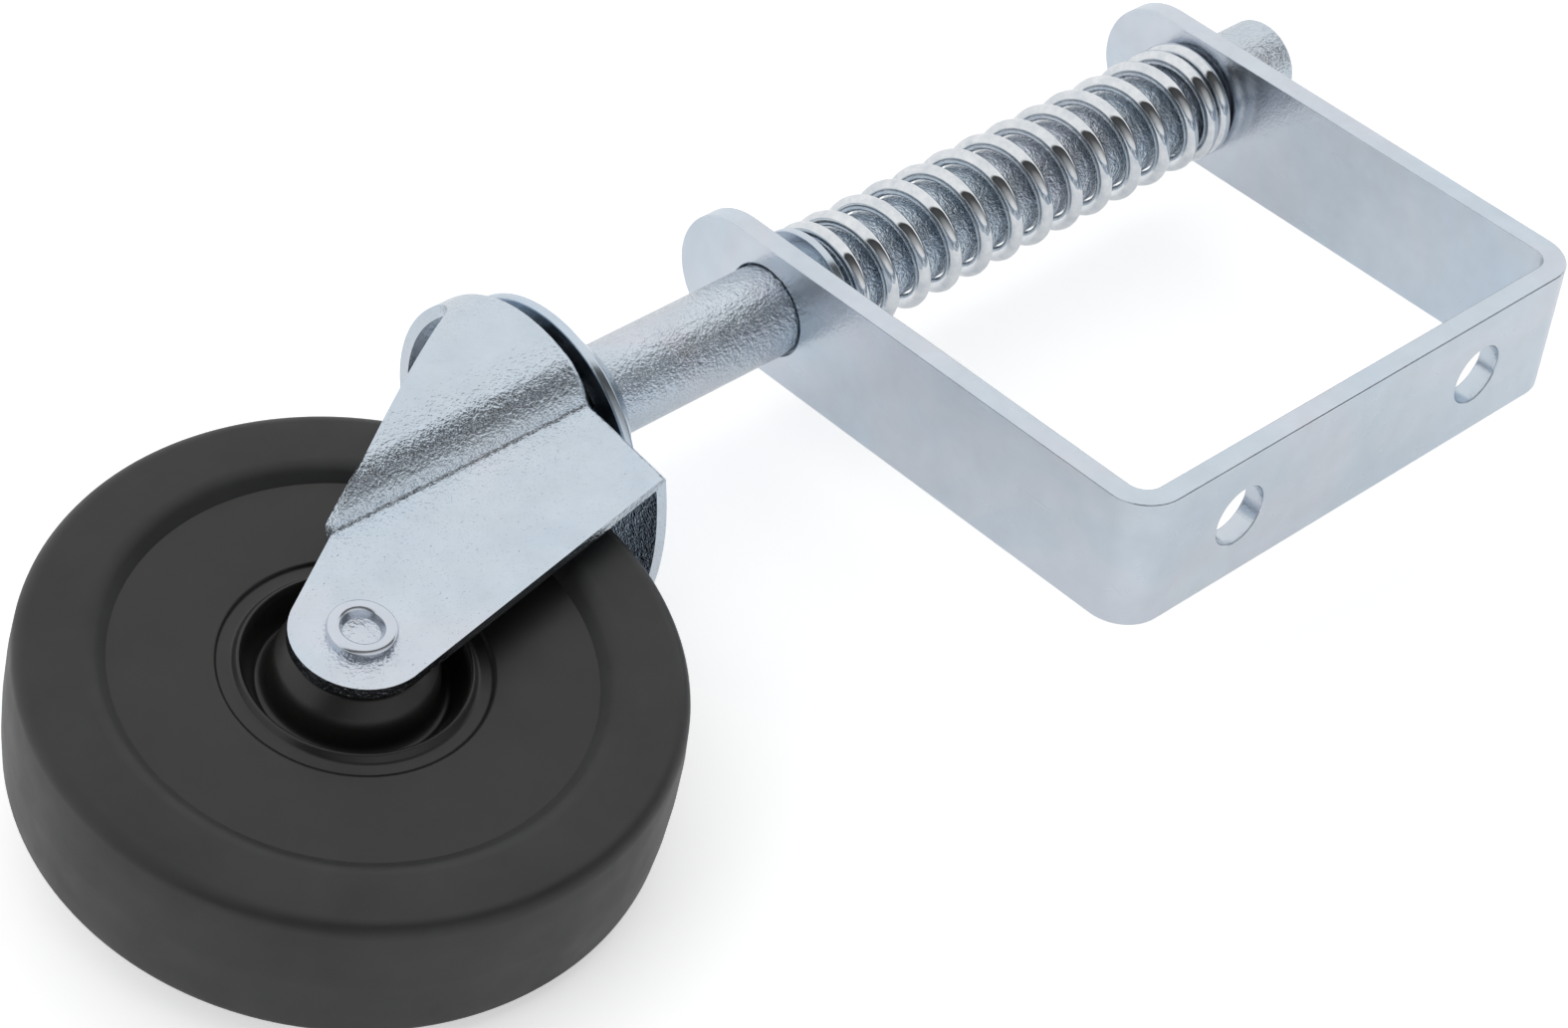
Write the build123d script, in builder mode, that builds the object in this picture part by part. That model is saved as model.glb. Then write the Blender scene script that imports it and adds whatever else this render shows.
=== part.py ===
from build123d import *
from math import acos, asin, cos, degrees, pi, radians, sin, sqrt
import os

# Spring-loaded swivel gate wheel.  Millimetres, +Z up along the stem.
# The origin is the middle of the two bolt holes on the bracket's mounting face.
# +Y points out of that face, towards the gate; the wheel and stem hang on the -Y side.

# bracket: one flat bar bent to a U
strap_width = 25.0
strap_thickness = 4.0
bracket_height = 109.0
arm_end = 20.7
bend_inside = 3.5
bolt_hole_d = 11.0
bolt_spacing = 59.5

# stem rod and how it runs in the bracket
stem_reach = 84.3
rod_d = 16.0
rod_fit = 0.10
rod_stub = 15.5
pin_d = 4.0
pin_length = 20.0
seat_washer_t = 1.5

# compression spring
wire_d = 2.8
spring_clearance = 0.2
spring_turns = 11.0
end_ease = 0.66
closed_turns = 1.0

# swivel head
crown_drop = 52.5
swivel_rest = 8.56
cap_d = 43.8
cap_sheet = 1.8
cap_gap = 3.0
dome_r = 21.0
spigot_d = 10.0
ball_d = 6.35
lower_ball_d = 4.76
lower_ring_r = 10.0
ball_space = 0.4
ball_play = 0.03
groove_depth = 0.5

# fork
sheet = 2.0
cup_r = 24.0
leg_half = 18.0
cup_depth = 5.6
trail = 30.0
wheel_gap = 7.1
leg_end_r = 10.7
crown_rear = 30.5
crown_rear_bulge = 2.8
top_bend = 1.8
wall_end = 14.8
leg_corner = 8.0
bulge_start = 14.0
bulge_r = 10.6
crease_r = 1.5

# wheel
wheel_d = 100.0
wheel_width = 25.0
tyre_bore_r = 36.0
core_half = 10.6
hub_play = 0.1
axle_d = 6.0
sleeve_d = 8.5
bush_d = 12.0
axle_fit = 0.05
hub_fit = 0.06
side_washer_t = 0.9
rivet_head_d = 10.6
rivet_head_t = 1.65
rivet_cup_d = 6.8

# sizes that follow from those above
arm_length = stem_reach + arm_end
seat_washer_d = rod_d + 2 * (spring_clearance + wire_d)
axle_drop = wheel_d / 2 + sheet + wheel_gap
hub_half = leg_half - sheet - side_washer_t - hub_play

# levels along the stem
arm_out = bracket_height / 2
arm_in = arm_out - strap_thickness
rod_r = rod_d / 2
crown_top = -arm_out - crown_drop
cap_under = crown_top + cap_gap
cap_top = cap_under + cap_sheet
dome_centre = cap_top - 10.0
rod_foot = dome_centre + sqrt(dome_r**2 - rod_r**2)
axle_z = crown_top - axle_drop
seat_low = -arm_in + pin_d
seat_top = seat_low + seat_washer_t

# the fork's own frame: stem axis as origin, x along the axle, y trailing
turn = radians(swivel_rest)
across = Vector(cos(turn), sin(turn), 0)
trailing = Vector(-sin(turn), cos(turn), 0)


def bracket_level(h):
    return Plane(origin=(0, -stem_reach, h), x_dir=(1, 0, 0), z_dir=(0, 0, 1))


def fork_level(h):
    return Plane(origin=(0, -stem_reach, h), x_dir=across, z_dir=(0, 0, 1))


stem_section = Plane(origin=(0, -stem_reach, 0), x_dir=(1, 0, 0), z_dir=(0, -1, 0))
fork_side = Plane(origin=(0, -stem_reach, 0), x_dir=trailing, z_dir=across)
axle_point = Vector(0, -stem_reach, axle_z) + trailing * trail
wheel_section = Plane(origin=axle_point, x_dir=across, z_dir=trailing * -1)
axle_line = Axis(axle_point, across)
stem_line = Axis((0, -stem_reach, 0), (0, 0, 1))

# Bracket: flat bar, an arm bent out at each end, arm ends rounded to half circles.
# The arms hold the stem rod; the back takes two bolts through the gate frame.
with BuildPart() as bracket:
    with BuildSketch(Plane.YZ.offset(-strap_width / 2)):
        with Locations((-arm_length / 2, 0)):
            Rectangle(arm_length, bracket_height)
        with Locations((-(arm_length + strap_thickness) / 2, 0)):
            Rectangle(
                arm_length - strap_thickness,
                bracket_height - 2 * strap_thickness,
                mode=Mode.SUBTRACT,
            )
    extrude(amount=strap_width)
    inner = bracket.edges().filter_by(Axis.X).group_by(Axis.Y)[-2]
    fillet(inner, bend_inside)
    outer = bracket.edges().filter_by(Axis.X).group_by(Axis.Y)[-1]
    fillet(outer, bend_inside + strap_thickness)
    tips = bracket.edges().filter_by(Axis.Z).group_by(Axis.Y)[0]
    fillet(tips, strap_width / 2 - 0.02)
    with Locations(bracket_level(arm_out)):
        Hole(rod_r + rod_fit, bracket_height)
    with Locations(Plane.XZ):
        with Locations((0, -bolt_spacing / 2), (0, bolt_spacing / 2)):
            Hole(bolt_hole_d / 2, 2 * strap_thickness)
bracket.part.label = "bracket"

# Stem rod: bright bar, chamfered at the top, drilled for the cross pin,
# stepped down to a spigot that runs through the swivel head and is peened over below.
king_head_t = 2.4
lower_cup_t = 1.5
lower_ball_z = crown_top - sheet + groove_depth - ball_play - lower_ball_d / 2
lower_cup_top = lower_ball_z - lower_ball_d / 2 - ball_play + groove_depth
lower_cup_low = lower_cup_top - lower_cup_t
with BuildPart() as stem_rod:
    with BuildSketch(stem_section):
        with BuildLine():
            Polyline(
                (0, arm_out + rod_stub),
                (rod_r - 0.8, arm_out + rod_stub),
                (rod_r, arm_out + rod_stub - 0.8),
                (rod_r, rod_foot),
                (spigot_d / 2, rod_foot),
                (spigot_d / 2, lower_cup_low),
                (7.2, lower_cup_low),
                (7.2, lower_cup_low - 0.9),
                (5.0, lower_cup_low - king_head_t),
                (0, lower_cup_low - king_head_t),
                close=True,
            )
        make_face()
    revolve(axis=stem_line)
    with Locations(Plane(origin=(0, -stem_reach, -arm_in + pin_d / 2), z_dir=(0, 1, 0))):
        Hole(pin_d / 2, rod_d)
stem_rod.part.label = "stem_rod"

# Cross pin: rolled spring pin with its slot, through the rod just above the lower arm.
with BuildPart() as cross_pin:
    pin_plane = Plane(
        origin=(0, -stem_reach - pin_length / 2, -arm_in + pin_d / 2),
        x_dir=(0, 0, 1),
        z_dir=(0, 1, 0),
    )
    with BuildSketch(pin_plane):
        Circle(pin_d / 2)
        Circle(pin_d / 2 - 0.8, mode=Mode.SUBTRACT)
        with Locations((0, pin_d / 2)):
            Rectangle(0.7, pin_d, mode=Mode.SUBTRACT)
    extrude(amount=pin_length)
cross_pin.part.label = "cross_pin"

# Seat washer: lies on the cross pin and carries the spring's lower end.
with BuildPart() as seat_washer:
    with BuildSketch(bracket_level(seat_low)):
        Circle(seat_washer_d / 2)
        Circle(rod_r + rod_fit, mode=Mode.SUBTRACT)
    extrude(amount=seat_washer_t)
    rims = seat_washer.edges().filter_by(GeomType.CIRCLE).sort_by(SortBy.RADIUS)[-2:]
    fillet(rims, 0.3)
seat_washer.part.label = "seat_washer"

# Compression spring: round wire, right-hand, one closed turn at each end.  The
# turn under the upper closed one is wound at a reduced pitch, end_ease of the rest.
wire_r = wire_d / 2
coil_r = rod_r + spring_clearance + wire_r
spring_low = seat_top + wire_r
spring_high = arm_in - wire_r
closed_rise = closed_turns * wire_d
active_rise = spring_high - spring_low - 2 * closed_rise
active_pitch = active_rise / (spring_turns + end_ease)
spring_phase = 140.0


def coil(start_z, start_turn, pitch, rise):
    frame = Plane(
        origin=(0, -stem_reach, start_z),
        x_dir=Vector(1, 0, 0).rotate(Axis.Z, spring_phase + 360 * start_turn),
        z_dir=(0, 0, 1),
    )
    return frame.location * Helix(pitch, rise, coil_r, mode=Mode.PRIVATE)


with BuildPart() as spring:
    with BuildLine() as coil_path:
        level = spring_low
        turned = 0.0
        for pitch, turns in (
            (wire_d, closed_turns),
            (active_pitch, spring_turns),
            (active_pitch * end_ease, 1.0),
            (wire_d, closed_turns),
        ):
            add(coil(level, turned, pitch, pitch * turns))
            level += pitch * turns
            turned += turns
    with BuildSketch(Plane(coil_path.line @ 0, z_dir=coil_path.line % 0)):
        Circle(wire_r - 0.02)
    sweep(is_frenet=True)
spring.part.label = "spring"

# Bearing cap: pressed dome with a flat brim, clamped under the rod's shoulder.
# Its hollow runs on the upper balls.
brim_r = cap_d / 2
dome_in = dome_r - cap_sheet
dome_foot = sqrt(dome_r**2 - (cap_top - dome_centre) ** 2)
dome_foot_in = sqrt(dome_in**2 - (cap_under - dome_centre) ** 2)
roof_in = rod_foot - cap_sheet
roof_in_r = sqrt(dome_in**2 - (roof_in - dome_centre) ** 2)


def on_dome(radius, angle):
    return (radius * cos(radians(angle)), dome_centre + radius * sin(radians(angle)))


top_angle = 90 - degrees(asin(rod_r / dome_r))
foot_angle = 90 - degrees(asin(dome_foot / dome_r))
in_top_angle = 90 - degrees(asin(roof_in_r / dome_in))
in_foot_angle = 90 - degrees(asin(dome_foot_in / dome_in))
with BuildPart() as bearing_cap:
    with BuildSketch(stem_section):
        with BuildLine():
            Line((spigot_d / 2, rod_foot), (rod_r, rod_foot))
            ThreePointArc(
                (rod_r, rod_foot),
                on_dome(dome_r, (top_angle + foot_angle) / 2),
                (dome_foot, cap_top),
            )
            Line((dome_foot, cap_top), (brim_r, cap_top))
            Line((brim_r, cap_top), (brim_r, cap_under))
            Line((brim_r, cap_under), (dome_foot_in, cap_under))
            ThreePointArc(
                (dome_foot_in, cap_under),
                on_dome(dome_in, (in_top_angle + in_foot_angle) / 2),
                (roof_in_r, roof_in),
            )
            Line((roof_in_r, roof_in), (spigot_d / 2, roof_in))
            Line((spigot_d / 2, roof_in), (spigot_d / 2, rod_foot))
        make_face()
    revolve(axis=stem_line)
    rims = bearing_cap.edges().filter_by(GeomType.CIRCLE).sort_by(SortBy.RADIUS)[-2:]
    fillet(rims, 0.6)
bearing_cap.part.label = "bearing_cap"

# Upper balls: between the cap's hollow and the groove in the fork crown.
ball_r = ball_d / 2
upper_ball_z = crown_top - groove_depth + ball_play + ball_r
reach_in = dome_in - ball_r - ball_play
upper_ring_r = sqrt(reach_in**2 - (upper_ball_z - dome_centre) ** 2)
ball_count = int(2 * pi * upper_ring_r / (ball_d + ball_space))
with BuildPart() as upper_balls:
    with Locations(fork_level(upper_ball_z)):
        with PolarLocations(upper_ring_r, ball_count):
            Sphere(ball_r)
upper_balls.part.label = "upper_balls"

# Lower balls: under the crown, in the lower cup.
lower_ball_count = int(2 * pi * lower_ring_r / (lower_ball_d + ball_space))
with BuildPart() as lower_balls:
    with Locations(fork_level(lower_ball_z)):
        with PolarLocations(lower_ring_r, lower_ball_count):
            Sphere(lower_ball_d / 2)
lower_balls.part.label = "lower_balls"

# Lower cup: pressed dish held on the spigot by its peened end.
cup_rim_r = lower_ring_r + lower_ball_d / 2 + 1.2
with BuildPart() as lower_cup:
    with BuildSketch(stem_section):
        with BuildLine():
            Polyline(
                (spigot_d / 2, lower_cup_top),
                (spigot_d / 2, lower_cup_low),
                (cup_rim_r + lower_cup_t, lower_cup_low),
                (cup_rim_r + lower_cup_t, crown_top - sheet - 1.0),
                (cup_rim_r, crown_top - sheet - 1.0),
                (cup_rim_r, lower_cup_top),
                close=True,
            )
        make_face()
        with Locations((lower_ring_r, lower_ball_z)):
            Circle(lower_ball_d / 2 + ball_play, mode=Mode.SUBTRACT)
    revolve(axis=stem_line)
    skirt = lower_cup.edges().filter_by(GeomType.CIRCLE).group_by(Axis.Z)[0]
    fillet(skirt.sort_by(SortBy.RADIUS)[-1], 1.2)
lower_cup.part.label = "lower_cup"

# Fork: one sheet pressing.  The crown is a disc; in front it turns down into a short
# half-round wall, at the sides the wall bulges on and then steps in to flat legs.
deep = axle_drop + leg_end_r + 5
rear_end = trail + leg_end_r + 6


def plan_face(grow, rear):
    """Outline of the pressing in plan, grown outwards by grow."""
    r = cup_r + grow
    bulge = bulge_r + grow
    side = leg_half + grow
    a = radians(bulge_start)
    centre = Vector(cos(a), sin(a)) * (cup_r - bulge_r)
    b = acos((side - centre.X) / bulge)
    start = Vector(cos(a), sin(a)) * r
    middle = centre + Vector(cos((a + b) / 2), sin((a + b) / 2)) * bulge
    foot = centre + Vector(cos(b), sin(b)) * bulge
    with BuildSketch(Plane.XY) as sketch:
        with BuildLine():
            ThreePointArc((start.X, start.Y), (0, -r), (-start.X, start.Y))
            ThreePointArc((-start.X, start.Y), (-middle.X, middle.Y), (-side, foot.Y))
            Line((-side, foot.Y), (-side, rear))
            Line((-side, rear), (side, rear))
            Line((side, rear), (side, foot.Y))
            ThreePointArc((side, foot.Y), (middle.X, middle.Y), (start.X, start.Y))
        make_face()
        corners = sketch.vertices().group_by(Axis.Y)[-2]
        fillet(corners, crease_r - grow * 0.4)
    return sketch.sketch


with BuildPart() as fork:
    with BuildSketch(fork_level(crown_top)):
        add(plan_face(0, rear_end))
    extrude(amount=-deep)
    fillet(fork.faces().sort_by(Axis.Z)[-1].edges(), top_bend)
    with BuildSketch(fork_level(crown_top - sheet)):
        add(plan_face(-sheet, rear_end + 5))
    extrude(amount=-deep, mode=Mode.SUBTRACT)
    # side view: crown and front wall, legs tapering to a round end about the axle
    with BuildSketch(fork_side) as side_view:
        with BuildLine():
            CenterArc((trail, axle_z), leg_end_r, 0, 360)
            Polyline(
                (-wall_end, crown_top - cup_depth),
                (-wall_end, crown_top + 1),
                (crown_rear, crown_top + 1),
                (crown_rear, crown_top - 1),
            )
        make_hull()
        with Locations((-cup_r - 2, crown_top + 1)):
            Rectangle(
                cup_r + 2 + crown_rear,
                cup_depth + 1,
                align=(Align.MIN, Align.MAX),
            )
        corner = side_view.vertices().filter_by_position(
            Axis.X, -wall_end - 0.3, -wall_end + 0.3
        )
        fillet(corner, leg_corner)
    extrude(amount=cup_r + 2, both=True, mode=Mode.INTERSECT)
    # the crown's rear edge bows out between the legs
    with BuildSketch(fork_level(crown_top)):
        with BuildLine():
            half = leg_half - top_bend
            Line((half, crown_rear), (-half, crown_rear))
            ThreePointArc(
                (-half, crown_rear),
                (0, crown_rear + crown_rear_bulge),
                (half, crown_rear),
            )
        make_face()
    extrude(amount=-sheet)
    # bore for the spigot, the two ball grooves and the holes for the axle rivet
    with Locations(fork_level(crown_top)):
        Hole(spigot_d / 2 + rod_fit, sheet)
    with Locations(fork_level(upper_ball_z)):
        Torus(upper_ring_r, ball_r + ball_play, mode=Mode.SUBTRACT)
    with Locations(fork_level(lower_ball_z)):
        Torus(lower_ring_r, lower_ball_d / 2 + ball_play, mode=Mode.SUBTRACT)
    with Locations(Plane(origin=axle_point, z_dir=across)):
        Cylinder(axle_d / 2, 2 * leg_half + 2, mode=Mode.SUBTRACT)
fork.part.label = "fork"

# Axle rivet: passes through both legs, a low factory head on the far side,
# the near end rolled over into a rim with a cup in it.
with BuildPart() as axle_rivet:
    with BuildSketch(wheel_section) as rivet_profile:
        head_r = rivet_head_d / 2
        mouth_r = rivet_cup_d / 2
        face_x = leg_half + rivet_head_t
        with BuildLine():
            Polyline(
                (-face_x, 0),
                (-face_x, head_r),
                (-leg_half, head_r),
                (-leg_half, axle_d / 2),
                (leg_half, axle_d / 2),
                (leg_half, head_r),
                (face_x, head_r),
                (face_x, mouth_r),
                (leg_half - 0.3, mouth_r - 0.7),
                (leg_half + 0.2, 0),
                close=True,
            )
        make_face()
        far_rim = rivet_profile.vertices().filter_by_position(
            Axis.X, -face_x - 0.1, -face_x + 0.1
        )
        fillet(far_rim.sort_by(Axis.Y)[-1], 1.2)
        near_rim = rivet_profile.vertices().filter_by_position(
            Axis.X, face_x - 0.1, face_x + 0.1
        )
        fillet(near_rim, 0.7)
    revolve(axis=axle_line)
axle_rivet.part.label = "axle_rivet"

# Axle sleeve: spacer tube on the rivet, clamped between the legs; the wheel turns on it.
leg_inside = leg_half - sheet
with BuildPart() as axle_sleeve:
    with BuildSketch(wheel_section):
        with Locations((0, (sleeve_d + axle_d) / 4)):
            Rectangle(2 * leg_inside, (sleeve_d - axle_d) / 2)
    revolve(axis=axle_line)
axle_sleeve.part.label = "axle_sleeve"

# Side washers: one each side of the hub, loose on the sleeve.
washer_r = 8.0
with BuildPart() as side_washers:
    for side in (-1, 1):
        with BuildSketch(wheel_section):
            with Locations(
                (
                    side * (leg_inside - side_washer_t / 2),
                    (washer_r + sleeve_d / 2 + axle_fit) / 2,
                )
            ):
                Rectangle(side_washer_t, washer_r - sleeve_d / 2 - axle_fit)
        revolve(axis=axle_line)
side_washers.part.label = "side_washers"

# Hub bush: plain bearing liner pressed into the wheel core.
bush_r = bush_d / 2
bush_bore_r = sleeve_d / 2 + hub_fit
with BuildPart() as hub_bush:
    with BuildSketch(wheel_section):
        with Locations((0, (bush_r + bush_bore_r) / 2)):
            Rectangle(2 * hub_half, bush_r - bush_bore_r)
    revolve(axis=axle_line)
hub_bush.part.label = "hub_bush"

# Wheel core: moulded disc, a boss round the bush, a channel round the boss with a
# rounded lip, a fine ring outside the lip, then a flat web out to the tyre.
boss_r = 12.4
channel_x = 6.6
lip_r = 17.2
lip_x = core_half + 0.9
ring_r = 20.6
with BuildPart() as wheel_core:
    with BuildSketch(wheel_section) as core_profile:
        with BuildLine():
            right = [
                (hub_half - 0.15, bush_r),
                (hub_half - 0.15, boss_r - 2.4),
                (hub_half - 3.2, boss_r),
                (channel_x, boss_r + 0.6),
                (channel_x, lip_r - 2.6),
                (lip_x - 0.8, lip_r - 0.7),
                (lip_x, lip_r),
                (core_half - 0.5, lip_r + 0.9),
                (core_half - 0.5, ring_r - 0.5),
                (core_half, ring_r),
                (core_half, tyre_bore_r),
            ]
            left = [(-x, r) for x, r in reversed(right)]
            Polyline(*right, *left, close=True)
        make_face()
        # soften the boss, the channel and the lip
        soft = core_profile.vertices().filter_by_position(
            Axis.Y, boss_r - 0.1, lip_r - 2.5
        )
        fillet(soft, 1.0)
    revolve(axis=axle_line)
wheel_core.part.label = "wheel_core"

# Tyre: solid rubber ring bonded round the core, faces stepping down to the core,
# tread slightly crowned with a fine parting ridge round its middle.
half_width = wheel_width / 2
tread_edge_r = wheel_d / 2 - 0.7
with BuildPart() as tyre:
    with BuildSketch(wheel_section) as tyre_profile:
        with BuildLine():
            right = [
                (core_half, tyre_bore_r),
                (half_width, tyre_bore_r + 2.4),
                (half_width, tread_edge_r),
            ]
            left = [(-x, r) for x, r in reversed(right)]
            Polyline(*right)
            ThreePointArc(right[-1], (0, wheel_d / 2), left[0])
            Polyline(*left)
            Line(left[-1], right[0])
        make_face()
        shoulders = tyre_profile.vertices().filter_by_position(
            Axis.Y, tread_edge_r - 0.1, tread_edge_r + 0.1
        )
        fillet(shoulders, 2.4)
        steps = tyre_profile.vertices().filter_by_position(
            Axis.Y, tyre_bore_r + 2.3, tyre_bore_r + 2.5
        )
        fillet(steps, 2.0)
    revolve(axis=axle_line)
tyre.part.label = "tyre"

os.makedirs("parts", exist_ok=True)
for piece in (
    bracket,
    stem_rod,
    cross_pin,
    seat_washer,
    spring,
    bearing_cap,
    upper_balls,
    lower_balls,
    lower_cup,
    fork,
    axle_rivet,
    axle_sleeve,
    side_washers,
    hub_bush,
    wheel_core,
    tyre,
):
    export_step(piece.part, f"parts/{piece.part.label}.step")
    print(piece.part.label, round(piece.part.volume, 1), piece.part.is_valid)
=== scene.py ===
from math import asin, atan2, cos, pi, radians, sin

import bmesh
import bpy
from mathutils import Euler, Matrix, Vector


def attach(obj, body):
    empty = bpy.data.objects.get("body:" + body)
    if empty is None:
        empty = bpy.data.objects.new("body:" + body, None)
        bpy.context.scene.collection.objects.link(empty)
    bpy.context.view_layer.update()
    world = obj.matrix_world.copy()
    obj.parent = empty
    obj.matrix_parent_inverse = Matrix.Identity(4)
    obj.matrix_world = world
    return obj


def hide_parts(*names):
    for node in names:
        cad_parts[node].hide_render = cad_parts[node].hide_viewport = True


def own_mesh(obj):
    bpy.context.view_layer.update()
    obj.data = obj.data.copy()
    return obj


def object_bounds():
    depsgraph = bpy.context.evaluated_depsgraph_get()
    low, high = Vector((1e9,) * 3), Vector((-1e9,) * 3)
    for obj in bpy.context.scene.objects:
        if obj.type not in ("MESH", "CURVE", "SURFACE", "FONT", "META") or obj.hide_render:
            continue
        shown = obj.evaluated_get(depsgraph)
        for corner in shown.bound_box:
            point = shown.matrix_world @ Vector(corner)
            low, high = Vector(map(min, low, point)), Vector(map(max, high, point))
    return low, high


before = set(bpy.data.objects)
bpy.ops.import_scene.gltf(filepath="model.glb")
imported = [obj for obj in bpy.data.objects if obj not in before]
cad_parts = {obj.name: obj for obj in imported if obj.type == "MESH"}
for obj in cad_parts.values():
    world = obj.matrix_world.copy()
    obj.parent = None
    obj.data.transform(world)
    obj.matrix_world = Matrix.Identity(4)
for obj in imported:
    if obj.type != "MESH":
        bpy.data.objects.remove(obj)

cad_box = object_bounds()

# ---------------------------------------------------------------- bracket
# Flat steel bar, 25 by 4 mm, sheared to length and bent to a U.  The arm ends are
# cropped to half circles and punched for the stem, the back for two bolts.
# Bright zinc plate with a blue-white passivation that drifts to pink and grey.
mm = 0.001
stem_y = -84.3 * mm
to_stem = Matrix.Translation((0, stem_y, 0))


def effect(name, inputs, outputs):
    """A shader node group with named inputs and outputs, and a small hand to fill it."""
    group = bpy.data.node_groups.new(name, "ShaderNodeTree")
    for label, kind, value in inputs:
        socket = group.interface.new_socket(label, in_out="INPUT", socket_type=kind)
        socket.default_value = value
    for label, kind in outputs:
        group.interface.new_socket(label, in_out="OUTPUT", socket_type=kind)
    start = group.nodes.new("NodeGroupInput")
    end = group.nodes.new("NodeGroupOutput")
    return group, start.outputs, end.inputs


def node(tree, kind, settings=None, **links):
    """Adds a node; each link is a value, or a socket that feeds the named input."""
    made = tree.nodes.new(kind)
    for key, value in (settings or {}).items():
        setattr(made, key, value)
    for label, source in links.items():
        label = label.replace("_", " ")
        target = made.inputs[int(label[1:])] if label[1:].isdigit() else made.inputs[label]
        if isinstance(source, bpy.types.NodeSocket):
            tree.links.new(source, target)
        else:
            target.default_value = source
    return made


def ramp(tree, source, *stops):
    """A colour ramp through (position, grey or colour) stops."""
    made = node(tree, "ShaderNodeValToRGB", Fac=source)
    band = made.color_ramp
    while len(band.elements) < len(stops):
        band.elements.new(0.5)
    for element, (place, tone) in zip(band.elements, stops):
        element.position = place
        element.color = (*tone, 1) if isinstance(tone, tuple) else (tone, tone, tone, 1)
    return made.outputs["Color"]


def noise(tree, where, scale, detail=2.0, rough=0.5, bend=0.0):
    return node(
        tree,
        "ShaderNodeTexNoise",
        Vector=where,
        Scale=scale,
        Detail=detail,
        Roughness=rough,
        Distortion=bend,
    ).outputs["Fac"]


def maths(tree, how, a, b=0.0, c=0.0):
    return node(
        tree, "ShaderNodeMath", {"operation": how}, i0=a, i1=b, i2=c
    ).outputs["Value"]


def tint(tree, amount, a, b, how="MIX"):
    made = node(tree, "ShaderNodeMix", {"data_type": "RGBA", "blend_type": how})
    for index, source in ((0, amount), (6, a), (7, b)):
        if isinstance(source, bpy.types.NodeSocket):
            tree.links.new(source, made.inputs[index])
        else:
            made.inputs[index].default_value = source
    return made.outputs[2]


# Zinc plate: drifting passivation colour, a cloudy sheen, fine grain, and fine
# handling marks.  The same bath coats the bracket, rod, head and fork.
zinc_plate, given, result = effect(
    "zinc_plate",
    [
        ("Grain", "NodeSocketFloat", 1.0),
        ("Cloud", "NodeSocketFloat", 1.0),
        ("Drift", "NodeSocketFloat", 1.0),
    ],
    [
        ("Colour", "NodeSocketColor"),
        ("Roughness", "NodeSocketFloat"),
        ("Height", "NodeSocketFloat"),
    ],
)
spot = node(zinc_plate, "ShaderNodeTexCoord").outputs["Object"]
drift = noise(zinc_plate, spot, 26.0, 3.0, 0.55, 0.6)
cool = ramp(
    zinc_plate,
    drift,
    (0.30, (0.55, 0.645, 0.755)),
    (0.48, (0.60, 0.68, 0.755)),
    (0.60, (0.67, 0.69, 0.755)),
    (0.74, (0.64, 0.715, 0.77)),
)
plain = (0.62, 0.685, 0.755, 1)
hue = tint(zinc_plate, given["Drift"], plain, cool)
cloud = noise(zinc_plate, spot, 160.0, 4.0, 0.6)
shade = ramp(zinc_plate, cloud, (0.25, 0.90), (0.75, 1.0))
zinc_plate.links.new(tint(zinc_plate, 1.0, hue, shade, "MULTIPLY"), result["Colour"])
sheen = maths(zinc_plate, "MULTIPLY", maths(zinc_plate, "SUBTRACT", cloud, 0.5), given["Cloud"])
marks = node(zinc_plate, "ShaderNodeMapping", Vector=spot, Scale=(900.0, 60.0, 500.0))
scuff = noise(zinc_plate, marks.outputs["Vector"], 1.0, 3.0, 0.6, 0.8)
scuffed = ramp(zinc_plate, scuff, (0.60, 0.0), (0.72, 0.08))
zinc_plate.links.new(
    maths(
        zinc_plate,
        "ADD",
        maths(zinc_plate, "MULTIPLY", sheen, 0.30),
        scuffed,
    ),
    result["Roughness"],
)
grain = noise(zinc_plate, spot, 2000.0, 2.0, 0.6)
peel = noise(zinc_plate, spot, 800.0, 2.0, 0.5)
zinc_plate.links.new(
    maths(
        zinc_plate,
        "MULTIPLY",
        maths(zinc_plate, "ADD", grain, peel),
        given["Grain"],
    ),
    result["Height"],
)


def plated(name, roughness, grain, cloud=0.35, drift=0.6, bump=0.25, depth=0.02 * mm):
    """Zinc plated steel in one finish."""
    made = bpy.data.materials.new(name)
    made.use_nodes = True
    tree = made.node_tree
    metal = tree.nodes["Principled BSDF"]
    metal.inputs["Metallic"].default_value = 1.0
    coat = node(tree, "ShaderNodeGroup", {"node_tree": zinc_plate})
    coat.inputs["Grain"].default_value = grain
    coat.inputs["Cloud"].default_value = cloud
    coat.inputs["Drift"].default_value = drift
    tree.links.new(coat.outputs["Colour"], metal.inputs["Base Color"])
    gloss = maths(tree, "ADD", coat.outputs["Roughness"], roughness)
    tree.links.new(gloss, metal.inputs["Roughness"])
    bumps = node(
        tree, "ShaderNodeBump", Height=coat.outputs["Height"], Strength=bump, Distance=depth
    )
    tree.links.new(bumps.outputs["Normal"], metal.inputs["Normal"])
    return made


def finished(bm, name, body, slot, material, *nodes, crease=35.0, turn_out=True):
    """Closes a piece: merges doubles, turns faces out, smooths, and hangs it on its body."""
    bmesh.ops.remove_doubles(bm, verts=bm.verts, dist=0.0005 * mm)
    if turn_out:
        bmesh.ops.recalc_face_normals(bm, faces=bm.faces)
    mesh = bpy.data.meshes.new(name)
    bm.to_mesh(mesh)
    bm.free()
    mesh.shade_smooth()
    mesh.set_sharp_from_angle(angle=radians(crease))
    mesh.materials.append(material)
    piece = bpy.data.objects.new(name, mesh)
    bpy.context.scene.collection.objects.link(piece)
    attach(piece, body)
    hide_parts(*nodes)
    return piece


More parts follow.
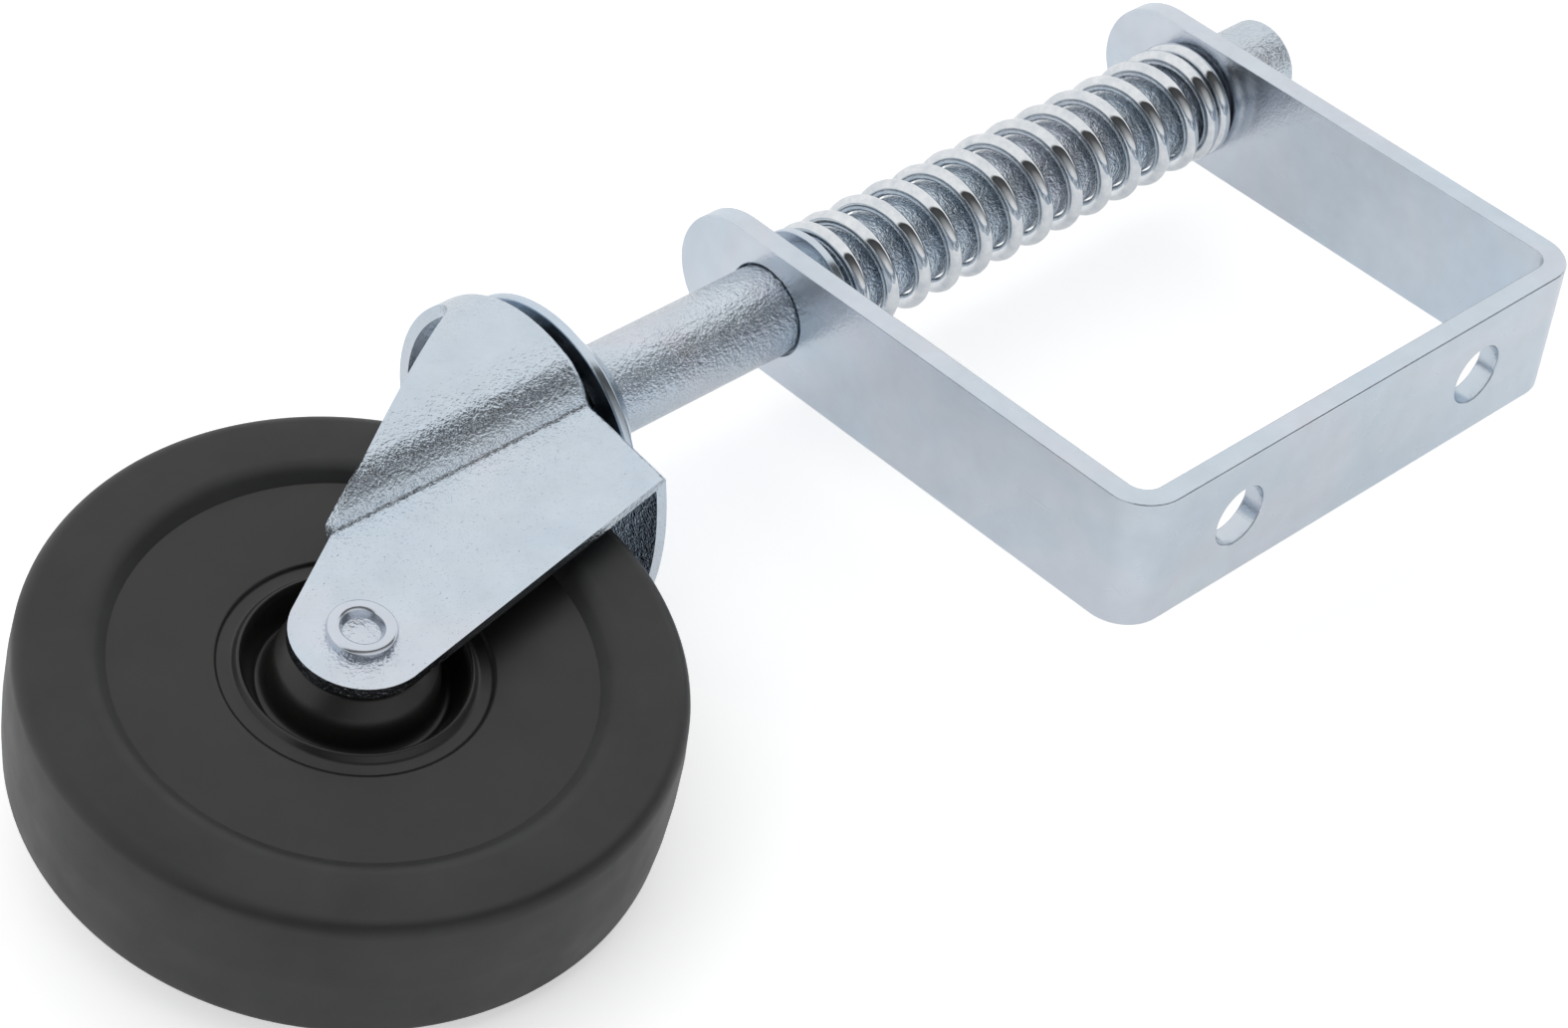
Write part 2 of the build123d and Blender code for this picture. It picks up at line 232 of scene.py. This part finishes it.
def thickened(piece, thickness, rounding, turned_in=-1.0):
    """Gives a sheet its thickness inwards, then breaks its sharp edges."""
    wall = piece.modifiers.new("thickness", "SOLIDIFY")
    wall.thickness = thickness
    wall.offset = turned_in
    wall.use_even_offset = True
    broken = piece.modifiers.new("edges", "BEVEL")
    broken.width = rounding
    broken.segments = 2
    broken.limit_method = "ANGLE"
    broken.angle_limit = radians(40)
    broken.harden_normals = True


zinc_bracket = plated("zinc_bracket", 0.22, 1.0, bump=0.6, depth=0.05 * mm)
bar_half = 12.5 * mm
arm_top = 54.5 * mm
bend_out = 7.5 * mm
arm_tip = -105 * mm
bar = bmesh.new()
# upper arm: half-round end, stem hole
bmesh.ops.create_circle(
    bar, segments=64, radius=8.25 * mm, matrix=Matrix.Translation((0, stem_y, arm_top))
)
corner = bar.verts.new((bar_half, arm_tip + bar_half, arm_top))
swept = bmesh.ops.spin(
    bar,
    geom=[corner],
    cent=(0, arm_tip + bar_half, arm_top),
    axis=(0, 0, -1),
    angle=pi,
    steps=32,
)["geom_last"]
other = [v for v in swept if isinstance(v, bmesh.types.BMVert)][0]
arm_root_y = -bend_out
root_right = bar.verts.new((bar_half, arm_root_y, arm_top))
root_left = bar.verts.new((-bar_half, arm_root_y, arm_top))
bar.edges.new((root_right, root_left))
bar.edges.new((corner, root_right))
bar.edges.new((other, root_left))
bmesh.ops.triangle_fill(bar, edges=bar.edges[:], use_beauty=True, use_dissolve=False)
# lower arm: the same arm, mirrored
arm = bar.verts[:] + bar.edges[:] + bar.faces[:]
bmesh.ops.mirror(bar, geom=arm, matrix=Matrix.Identity(4), merge_dist=0.0, axis="Z")
# bends
back_edges = []
for side in (1, -1):
    level = side * arm_top
    ends = [
        e
        for e in bar.edges
        if all(
            abs(v.co.y - arm_root_y) < 1e-7 and abs(v.co.z - level) < 1e-7 for v in e.verts
        )
    ]
    made = bmesh.ops.spin(
        bar,
        geom=ends + [v for v in ends[0].verts],
        cent=(0, arm_root_y, side * (arm_top - bend_out)),
        axis=(-side, 0, 0),
        angle=pi / 2,
        steps=14,
    )["geom_last"]
    back_edges += [e for e in made if isinstance(e, bmesh.types.BMEdge)]
# back: two halves, each with its bolt hole
waist = bar.edges.new((bar.verts.new((bar_half, 0, 0)), bar.verts.new((-bar_half, 0, 0))))
for side in (1, -1):
    top = [e for e in back_edges if e.verts[0].co.z * side > 0][0]
    turned = Matrix.Translation((0, 0, side * 29.75 * mm)) @ Matrix.Rotation(pi / 2, 4, "X")
    punched = bmesh.ops.create_circle(bar, segments=48, radius=5.5 * mm, matrix=turned)["verts"]
    outline = {e for v in punched for e in v.link_edges} | {top, waist}
    for high in top.verts:
        low = min(waist.verts, key=lambda v: abs(v.co.x - high.co.x))
        outline.add(bar.edges.new((high, low)))
    bmesh.ops.triangle_fill(bar, edges=list(outline), use_beauty=True, use_dissolve=False)
bracket = finished(bar, "bracket_bar", "bracket_body", "zinc_bracket", zinc_bracket, "bracket")
thickened(bracket, 4 * mm, 0.35 * mm)

# ---------------------------------------------------------------- stem rod
# Drawn steel bar, 16 mm, chamfered at its top, zinc plated.  Its foot is stepped
# down to a spigot, which runs through the swivel head and is peened over below.


def lathe(
    name, points, body, slot, material, *nodes, axis="Z", place=to_stem, steps=128, crease=35.0
):
    """Turned or moulded round piece: its half section, with rounded corners, spun once.
    A point is (along the axis, out from it, corner rounding)."""
    bm = bmesh.new()
    section = []
    for along, out, _ in points:
        spot = (out, 0, along) if axis == "Z" else (along, 0, out)
        section.append(bm.verts.new([c * mm for c in spot]))
    for a, b in zip(section, section[1:] + section[:1]):
        bm.edges.new((a, b))
    for corner, (_, _, rounding) in zip(section, points):
        if rounding:
            bmesh.ops.bevel(
                bm,
                geom=[corner],
                offset=rounding * mm,
                segments=6,
                profile=0.5,
                affect="VERTICES",
                material=-1,
            )
    turn = (0, 0, 1) if axis == "Z" else (1, 0, 0)
    bmesh.ops.spin(
        bm,
        geom=bm.verts[:] + bm.edges[:],
        cent=(0, 0, 0),
        axis=turn,
        angle=2 * pi,
        steps=steps,
        use_merge=True,
    )
    bmesh.ops.transform(bm, matrix=place, verts=bm.verts)
    return finished(bm, name, body, slot, material, *nodes, crease=crease)


zinc_rod = plated("zinc_rod", 0.15, 1.0, bump=1.0, depth=0.28 * mm)
cup_low = -114.32
lathe(
    "stem_rod_bar",
    [
        (70, 0, 0),
        (70, 8, 0.9),
        (-92.78, 8, 0),
        (-92.78, 5, 0),
        (cup_low, 5, 0),
        (cup_low, 7.2, 0.3),
        (cup_low - 0.9, 7.2, 0.5),
        (cup_low - 2.4, 4.6, 1.2),
        (cup_low - 2.4, 0, 0),
    ],
    "stem",
    "zinc_rod",
    zinc_rod,
    "stem_rod",
)

# ---------------------------------------------------------------- cross pin and seat washer
# Rolled spring pin driven across the rod just above the lower arm, plain oiled
# steel, and the plated washer that lies on it and carries the spring.
pin_steel = plated("pin_steel", 0.28, 0.5, drift=0.0)
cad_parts["cross_pin"].data.materials.clear()
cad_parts["cross_pin"].data.materials.append(pin_steel)
zinc_small = plated("zinc_small", 0.22, 0.8)
lathe(
    "seat_washer_ring",
    [(-46.5, 8.1, 0.1), (-46.5, 11, 0.3), (-45, 11, 0.3), (-45, 8.1, 0.1)],
    "spring_seat",
    "zinc_small",
    zinc_small,
    "seat_washer",
    steps=96,
)

# ---------------------------------------------------------------- spring
# Compression spring coiled right-handed from 2.8 mm round wire, one closed turn at
# each end and the turn under the upper one eased; bright plated over drawn wire.
spring_chrome = bpy.data.materials.new("spring_chrome")
spring_chrome.use_nodes = True
tree = spring_chrome.node_tree
metal = tree.nodes["Principled BSDF"]
metal.inputs["Metallic"].default_value = 1.0
spot = node(tree, "ShaderNodeTexCoord").outputs["Object"]
drawn = noise(tree, spot, 420.0, 3.0, 0.6)
tree.links.new(
    ramp(tree, drawn, (0.3, (0.62, 0.66, 0.70)), (0.7, (0.78, 0.80, 0.82))),
    metal.inputs["Base Color"],
)
tree.links.new(ramp(tree, drawn, (0.3, 0.05), (0.7, 0.09)), metal.inputs["Roughness"])
skin = node(
    tree,
    "ShaderNodeBump",
    Height=noise(tree, spot, 1400.0, 2.0),
    Strength=0.12,
    Distance=0.02 * mm,
)
tree.links.new(skin.outputs["Normal"], metal.inputs["Normal"])

wire_r = 1.38 * mm
coil_r = 9.6 * mm
spring_low = -45 * mm + 1.4 * mm
closed_rise = 2.8 * mm
active_turns = 11.0
end_ease = 0.66
active_rise = 50.5 * mm - 1.4 * mm - closed_rise - (spring_low + closed_rise)
pitch = active_rise / (active_turns + end_ease)
phase = radians(140)
wire = bmesh.new()
start = Matrix.Rotation(phase, 4, "Z") @ Matrix.Translation((coil_r, 0, spring_low))
lead = atan2(closed_rise, 2 * pi * coil_r)
end_face = bmesh.ops.create_circle(
    wire,
    cap_ends=True,
    segments=16,
    radius=wire_r,
    matrix=start @ Matrix.Rotation(pi / 2 + lead, 4, "X"),
)["verts"]
tip = [f for f in wire.faces]
moving = tip + end_face + [e for e in wire.edges]
per_turn = 56
for turns, rise in (
    (1.0, closed_rise),
    (active_turns, active_turns * pitch),
    (1.0, end_ease * pitch),
    (1.0, closed_rise),
):
    steps = round(turns * per_turn)
    moving = bmesh.ops.spin(
        wire,
        geom=moving,
        cent=(0, 0, 0),
        axis=(0, 0, 1),
        dvec=(0, 0, rise / steps),
        angle=2 * pi * turns,
        steps=steps,
    )["geom_last"]
bmesh.ops.transform(wire, matrix=to_stem, verts=wire.verts)
spring = finished(wire, "spring_coil", "bracket_body", "spring_chrome", spring_chrome, "spring")
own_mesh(spring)

# ---------------------------------------------------------------- bearing cap
# Pressed and plated hat, 1.8 mm sheet: a dome under the rod's shoulder and a flat
# brim over the fork's crown.  The upper balls run in its hollow.
zinc_pressed = plated("zinc_pressed", 0.20, 0.8, bump=0.35)
dome_z = -112.2
dome = []
for step in range(0, 13):
    a = radians(67.6 - step * (67.6 - 28.45) / 12)
    dome.append((dome_z + 21 * sin(a), 21 * cos(a), 0))
hollow = []
for step in range(0, 13):
    a = radians(25.3 + step * (64.0 - 25.3) / 12)
    hollow.append((dome_z + 19.2 * sin(a), 19.2 * cos(a), 0))
lathe(
    "bearing_cap_hat",
    [(-92.78, 5, 0)]
    + dome
    + [(-102.2, 21.9, 0.6), (-104, 21.9, 0.6)]
    + hollow
    + [(-94.6, 5, 0)],
    "stem",
    "zinc_pressed",
    zinc_pressed,
    "bearing_cap",
)

# ---------------------------------------------------------------- balls
# Two rings of twelve hardened steel balls, loose in grease.
ball_steel = bpy.data.materials.new("ball_steel")
ball_steel.use_nodes = True
tree = ball_steel.node_tree
metal = tree.nodes["Principled BSDF"]
spot = node(tree, "ShaderNodeTexCoord").outputs["Object"]
grease = noise(tree, spot, 300.0, 3.0, 0.6)
tree.links.new(
    ramp(tree, grease, (0.35, (0.020, 0.017, 0.013)), (0.62, (0.09, 0.09, 0.09))),
    metal.inputs["Base Color"],
)
tree.links.new(ramp(tree, grease, (0.35, 0.2), (0.62, 0.9)), metal.inputs["Metallic"])
tree.links.new(ramp(tree, grease, (0.35, 0.42), (0.62, 0.25)), metal.inputs["Roughness"])
for name in ("upper_balls", "lower_balls"):
    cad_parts[name].data.materials.clear()
    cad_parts[name].data.materials.append(ball_steel)

# ---------------------------------------------------------------- lower cup
# Pressed dish under the crown, held by the rod's peened end.
lathe(
    "lower_cup_dish",
    [
        (-112.82, 5, 0),
        (cup_low, 5, 0),
        (cup_low, 15.08, 1.2),
        (-110.0, 15.08, 0.3),
        (-110.0, 13.58, 0.3),
        (-112.0, 13.3, 0.8),
        (-112.82, 12.3, 0.5),
        (-112.82, 11.47, 0),
        (-113.14, 10.9, 0),
        (-113.32, 10.0, 0),
        (-113.14, 9.1, 0),
        (-112.82, 8.53, 0),
    ],
    "stem",
    "zinc_pressed",
    zinc_pressed,
    "lower_cup",
)

# ---------------------------------------------------------------- fork
# One pressing from 2 mm sheet: a round crown whose wall runs down in front and
# bulges out past the legs, then steps in along a crease to two flat tapering legs.
to_fork = to_stem @ Matrix.Rotation(radians(8.56), 4, "Z")
crown = -107 * mm
crown_r = 24 * mm
leg_half = 18 * mm
foot_y = 12.6 * mm
axle_y = 30 * mm
axle_z = -166.1 * mm
leg_r = 10.7 * mm
top_bend = 1.8 * mm
zinc_fork = plated("zinc_fork", 0.14, 1.0, bump=0.9, depth=0.20 * mm)
skin = bmesh.new()
arc_a = radians(10)
front = skin.verts.new((crown_r * cos(arc_a), crown_r * sin(arc_a), crown))
swept = bmesh.ops.spin(
    skin,
    geom=[front],
    cent=(0, 0, crown),
    axis=(0, 0, -1),
    angle=pi + 2 * arc_a,
    steps=56,
)["geom_last"]
back = [v for v in swept if isinstance(v, bmesh.types.BMVert)][0]
crown_rear = 30.5 * mm
rear_end = 45 * mm
for end, side in ((front, 1), (back, -1)):
    last = end
    for x, y in (
        (22.578 * mm, 10.168 * mm),
        (leg_half, foot_y),
        (leg_half, rear_end),
    ):
        point = skin.verts.new((side * x, y, crown))
        skin.edges.new((last, point))
        last = point
# round the bulge's shoulder broadly and its crease tightly, in plan
for y_low, y_high, size, steps in ((10.1, 10.2, 4.3, 18), (12.5, 12.7, 0.75, 8)):
    bends = [v for v in skin.verts if y_low * mm < v.co.y < y_high * mm]
    bmesh.ops.bevel(
        skin,
        geom=bends,
        offset=size * mm,
        segments=steps,
        profile=0.5,
        affect="VERTICES",
        material=-1,
    )
rim = skin.edges[:]
down = bmesh.ops.extrude_edge_only(skin, edges=rim)["geom"]
bmesh.ops.translate(
    skin, vec=(0, 0, -75 * mm), verts=[v for v in down if isinstance(v, bmesh.types.BMVert)]
)
# crown: filled out to the rear ends for now, with the hole for the spigot
rear = [v for v in skin.verts if abs(v.co.z - crown) < 1e-7 and abs(v.co.y - rear_end) < 1e-7]
skin.edges.new(rear)
spigot = bmesh.ops.create_circle(
    skin, segments=32, radius=5.1 * mm, matrix=Matrix.Translation((0, 0, crown))
)["verts"]
outline = list(dict.fromkeys(e for v in spigot for e in v.link_edges))
outline += [
    e for e in skin.edges if all(abs(v.co.z - crown) < 1e-7 for v in e.verts) and e not in outline
]
bmesh.ops.triangle_fill(skin, edges=outline, use_beauty=True, use_dissolve=False)
bmesh.ops.recalc_face_normals(skin, faces=skin.faces)
# the bend from the crown into the walls
bent = [
    e
    for e in skin.edges
    if len(e.link_faces) == 2 and abs(e.calc_face_angle(0.0) - pi / 2) < 0.2
]
bmesh.ops.bevel(
    skin,
    geom=bent,
    offset=top_bend,
    segments=6,
    profile=0.5,
    affect="EDGES",
    material=-1,
)
# the crown's rear edge bows out between the legs
half = leg_half - top_bend
bow = 2.8 * mm


def crown_faces():
    return [f for f in skin.faces if f.calc_center_median().z > crown - 1e-6]


def shear(faces, point, outward, drop=True):
    """Splits some faces along a plane and drops the ones beyond it."""
    geom = set(faces)
    for f in faces:
        geom.update(f.edges)
        geom.update(f.verts)
    point = Vector(point)
    outward = Vector(outward).normalized()
    parts = bmesh.ops.bisect_plane(
        skin, geom=list(geom), plane_co=point, plane_no=outward, dist=1e-7
    )["geom"]
    beyond = [
        f
        for f in parts
        if isinstance(f, bmesh.types.BMFace) and (f.calc_center_median() - point).dot(outward) > 0
    ]
    if drop:
        bmesh.ops.delete(skin, geom=beyond, context="FACES")


for k in range(-6, 7):
    x = half * k / 6
    shear(
        crown_faces(),
        (x, crown_rear + bow * (1 - (k / 6) ** 2), 0),
        (2 * bow * x / half**2, 1, 0),
    )
# trim: front wall's lower edge, tapering front and rear edges, round end about the axle


def side_cut(y0, z0, y1, z1, faces):
    """Cuts along a line in the side view and drops what lies to its left."""
    shear(faces, (0, y0, z0), (0, z1 - z0, y0 - y1))


wall_end = -14.8 * mm
corner_r = 8 * mm
wall_low = crown - 5.6 * mm
bmesh.ops.bisect_plane(
    skin,
    geom=skin.verts[:] + skin.edges[:] + skin.faces[:],
    plane_co=(0, 0, wall_low),
    plane_no=(0, 0, 1),
    dist=1e-7,
)


def below():
    return [f for f in skin.faces if f.calc_center_median().z < wall_low]


to_axle = Vector((axle_y - wall_end, axle_z - wall_low))
front_angle = atan2(to_axle.y, to_axle.x) - asin(leg_r / to_axle.length)
# the rounded corner between the front wall's lower edge and the slanting leg edge
slant = Vector((-sin(front_angle), cos(front_angle)))
hub = Vector((wall_end, wall_low)) - corner_r * (Vector((0, 1)) + slant) / (1 + slant.y)
faced = []
for k in range(9):
    a = pi / 2 + front_angle * k / 8
    out = Vector((cos(a), sin(a)))
    faced.append(out)
    touch = hub + corner_r * out
    shear(below(), (0, touch.x, touch.y), (0, out.x, out.y), drop=False)
open_space = []
for f in below():
    middle = f.calc_center_median().yz - hub
    if all(middle.dot(out) < corner_r for out in faced):
        open_space.append(f)
bmesh.ops.delete(skin, geom=open_space, context="FACES")
rear_top = Vector((crown_rear, crown))
down_leg = Vector((axle_y - rear_top.x, axle_z - rear_top.y))
rear_angle = atan2(down_leg.y, down_leg.x) + asin(leg_r / down_leg.length)
flat = set(crown_faces())
side_cut(
    rear_top.x + cos(rear_angle),
    rear_top.y + sin(rear_angle),
    rear_top.x,
    rear_top.y,
    [f for f in skin.faces if f not in flat],
)
first = front_angle - pi / 2
turns = 24
for k in range(1, turns):
    a = first + (rear_angle + pi / 2 - first) * k / turns
    y = axle_y + leg_r * cos(a)
    z = axle_z + leg_r * sin(a)
    side_cut(y, z, y - sin(a), z + cos(a), below())
bmesh.ops.delete(skin, geom=[v for v in skin.verts if not v.link_faces], context="VERTS")
top = max(skin.faces, key=lambda f: f.calc_center_median().z)
if top.normal.z < 0:
    bmesh.ops.reverse_faces(skin, faces=skin.faces)
bmesh.ops.transform(skin, matrix=to_fork, verts=skin.verts)
fork = finished(skin, "fork_pressing", "swivel", "zinc_fork", zinc_fork, "fork", turn_out=False)
thickened(fork, 2 * mm, 0.3 * mm)

# ---------------------------------------------------------------- axle rivet
# Plated tubular rivet through both legs: a low factory head on the far side, the
# near end rolled over into a rim round a cup.
to_axle_frame = to_fork @ Matrix.Translation((0, axle_y, axle_z))
rivet_zinc = plated("rivet_zinc", 0.24, 0.8, bump=0.4)
lathe(
    "axle_rivet_head",
    [
        (-19.65, 0, 0),
        (-19.65, 5.3, 1.2),
        (-18, 5.3, 0),
        (-18, 3, 0),
        (18, 3, 0),
        (18, 5.3, 0.1),
        (19.65, 5.3, 0.8),
        (19.65, 3.4, 0.5),
        (17.7, 2.7, 0.4),
        (18.2, 0, 0),
    ],
    "swivel",
    "rivet_zinc",
    rivet_zinc,
    "axle_rivet",
    axis="X",
    place=to_axle_frame,
    steps=96,
)

# ---------------------------------------------------------------- hub
# Spacer sleeve clamped between the legs, loose side washers, and a moulded bush
# pressed into the core; the wheel turns on the sleeve.
sleeve_steel = plated("sleeve_steel", 0.22, 0.4, drift=0.0)
lathe(
    "axle_sleeve_tube",
    [(-16, 3, 0.1), (-16, 4.25, 0.1), (16, 4.25, 0.1), (16, 3, 0.1)],
    "swivel",
    "sleeve_steel",
    sleeve_steel,
    "axle_sleeve",
    axis="X",
    place=to_axle_frame,
    steps=64,
)
for side in (-1, 1):
    lathe(
        f"side_washer_{'left' if side < 0 else 'right'}",
        [
            (side * 15.1, 4.3, 0.1),
            (side * 15.1, 8, 0.2),
            (side * 16, 8, 0.2),
            (side * 16, 4.3, 0.1),
        ],
        "swivel",
        "zinc_small",
        zinc_small,
        "side_washers",
        axis="X",
        place=to_axle_frame,
        steps=64,
    )


def moulded(name, colour, roughness, bump):
    """Black or natural moulded rubber or plastic with a fine skin."""
    made = bpy.data.materials.new(name)
    made.use_nodes = True
    tree = made.node_tree
    stuff = tree.nodes["Principled BSDF"]
    spot = node(tree, "ShaderNodeTexCoord").outputs["Object"]
    haze = noise(tree, spot, 45.0, 4.0, 0.6)
    dark = tuple(c * 0.75 for c in colour)
    light = tuple(min(1.0, c * 1.35) for c in colour)
    tree.links.new(ramp(tree, haze, (0.3, dark), (0.7, light)), stuff.inputs["Base Color"])
    fine = noise(tree, spot, 1200.0, 3.0, 0.6)
    patch = noise(tree, spot, 110.0, 3.0, 0.6)
    uneven = maths(tree, "MULTIPLY", maths(tree, "SUBTRACT", patch, 0.5), 0.25)
    tree.links.new(maths(tree, "ADD", uneven, roughness), stuff.inputs["Roughness"])
    bumps = node(tree, "ShaderNodeBump", Height=fine, Strength=bump, Distance=0.03 * mm)
    tree.links.new(bumps.outputs["Normal"], stuff.inputs["Normal"])
    return made


bush_plastic = moulded("bush_plastic", (0.60, 0.58, 0.52), 0.42, 0.1)
lathe(
    "hub_bush_liner",
    [(-15, 4.31, 0.2), (-15, 6, 0.2), (15, 6, 0.2), (15, 4.31, 0.2)],
    "wheel",
    "bush_plastic",
    bush_plastic,
    "hub_bush",
    axis="X",
    place=to_axle_frame,
    steps=64,
)

# ---------------------------------------------------------------- wheel core
# Hard black moulding: boss round the bush, a channel with a rounded lip, a fine
# ring outside it, then a flat web out to the tyre.
core_plastic = moulded("core_plastic", (0.013, 0.0125, 0.012), 0.36, 0.12)
right = [
    (14.85, 6, 0),
    (14.85, 10.0, 0.4),
    (11.8, 12.4, 1.0),
    (6.6, 13.0, 1.2),
    (6.6, 14.6, 1.2),
    (10.7, 16.5, 0.5),
    (11.5, 17.2, 0.5),
    (10.1, 18.1, 0.4),
    (10.1, 20.1, 0.2),
    (10.6, 20.6, 0.25),
    (10.6, 36, 0),
]
left = [(-a, r, c) for a, r, c in reversed(right)]
lathe(
    "wheel_core_moulding",
    right + left,
    "wheel",
    "core_plastic",
    core_plastic,
    "wheel_core",
    axis="X",
    place=to_axle_frame,
    steps=160,
)

# ---------------------------------------------------------------- tyre
# Solid black rubber ring bonded round the core, its faces stepping down to the web,
# tread slightly crowned with a fine parting ridge round its middle.
tyre_rubber = moulded("tyre_rubber", (0.017, 0.0175, 0.018), 0.47, 0.2)
right = [
    (10.6, 36, 0),
    (12.5, 38.4, 1.4),
    (12.5, 49.3, 2.2),
    (6.0, 49.85, 0),
    (0.35, 50.0, 0.1),
    (0.0, 50.0, 0),
]
left = [(-a, r, c) for a, r, c in reversed(right[:-1])]
lathe(
    "tyre_ring",
    right + left,
    "wheel",
    "tyre_rubber",
    tyre_rubber,
    "tyre",
    axis="X",
    place=to_axle_frame,
    steps=192,
)

# ---------------------------------------------------------------- floor, light, camera
# The part lies on its side on a pale sheet, under a broad soft studio light.
paper = bpy.data.materials.new("pale_sheet")
paper.use_nodes = True
tree = paper.node_tree
card = tree.nodes["Principled BSDF"]
card.inputs["Base Color"].default_value = (0.88, 0.885, 0.89, 1)
card.inputs["Roughness"].default_value = 0.95
card.inputs["Specular IOR Level"].default_value = 0.0
seen = node(tree, "ShaderNodeLightPath").outputs["Is Camera Ray"]
card.inputs["Emission Color"].default_value = (1, 1, 1, 1)
tree.links.new(
    maths(tree, "ADD", maths(tree, "MULTIPLY", seen, 0.22), 0.30),
    card.inputs["Emission Strength"],
)
through = node(tree, "ShaderNodeBsdfTransparent")
behind = node(tree, "ShaderNodeNewGeometry").outputs["Backfacing"]
either = node(tree, "ShaderNodeMixShader", i0=behind)
tree.links.new(card.outputs[0], either.inputs[1])
tree.links.new(through.outputs[0], either.inputs[2])
tree.links.new(either.outputs[0], tree.nodes["Material Output"].inputs["Surface"])
sheet = bmesh.new()
bmesh.ops.create_grid(
    sheet,
    x_segments=1,
    y_segments=1,
    size=3.0,
    matrix=Matrix.Translation((cad_box[0].x - 0.0008, 0, -0.07))
    @ Matrix.Rotation(pi / 2, 4, "Y"),
)
mesh = bpy.data.meshes.new("pale_sheet")
sheet.to_mesh(mesh)
sheet.free()
mesh.materials.append(paper)
floor = bpy.data.objects.new("pale_sheet", mesh)
bpy.context.scene.collection.objects.link(floor)

sky = bpy.data.worlds.new("studio")
bpy.context.scene.world = sky
sky.use_nodes = True
tree = sky.node_tree
# a wide soft box on one side, an open dark room on the other
toward = node(tree, "ShaderNodeTexCoord").outputs["Generated"]
side = node(
    tree,
    "ShaderNodeVectorMath",
    {"operation": "DOT_PRODUCT"},
    i0=toward,
    i1=(-sin(radians(20)), cos(radians(20)), 0),
).outputs["Value"]
box = ramp(
    tree,
    maths(tree, "MULTIPLY_ADD", side, 0.5, 0.5),
    (0.0, 1.0),
    (0.485, 0.98),
    (0.515, 0.05),
    (0.66, 0.10),
    (0.80, 0.45),
    (0.90, 0.85),
)
upward = node(
    tree,
    "ShaderNodeVectorMath",
    {"operation": "DOT_PRODUCT"},
    i0=toward,
    i1=(0, 0, 1),
).outputs["Value"]
lamp = ramp(tree, upward, (0.86, 0.0), (0.90, 1.0))
box = tint(tree, lamp, box, (1.0, 1.0, 1.0, 1))
seen = node(tree, "ShaderNodeLightPath").outputs["Is Camera Ray"]
sky_colour = tint(tree, seen, box, (0.93, 0.935, 0.94, 1))
tree.links.new(sky_colour, tree.nodes["Background"].inputs["Color"])
tree.nodes["Background"].inputs["Strength"].default_value = 1.0

bpy.context.scene.view_settings.view_transform = "Standard"

lens = bpy.data.cameras.new("camera")
lens.lens = 93.308
lens.sensor_width = 36.0
lens.shift_x = 0.00793
lens.shift_y = 0.02237
camera = bpy.data.objects.new("camera", lens)
camera.location = (0.410333, 0.280610, -0.445232)
camera.rotation_euler = Euler((-0.621227, -2.327875, -1.701170))
bpy.context.scene.collection.objects.link(camera)
bpy.context.scene.camera = camera
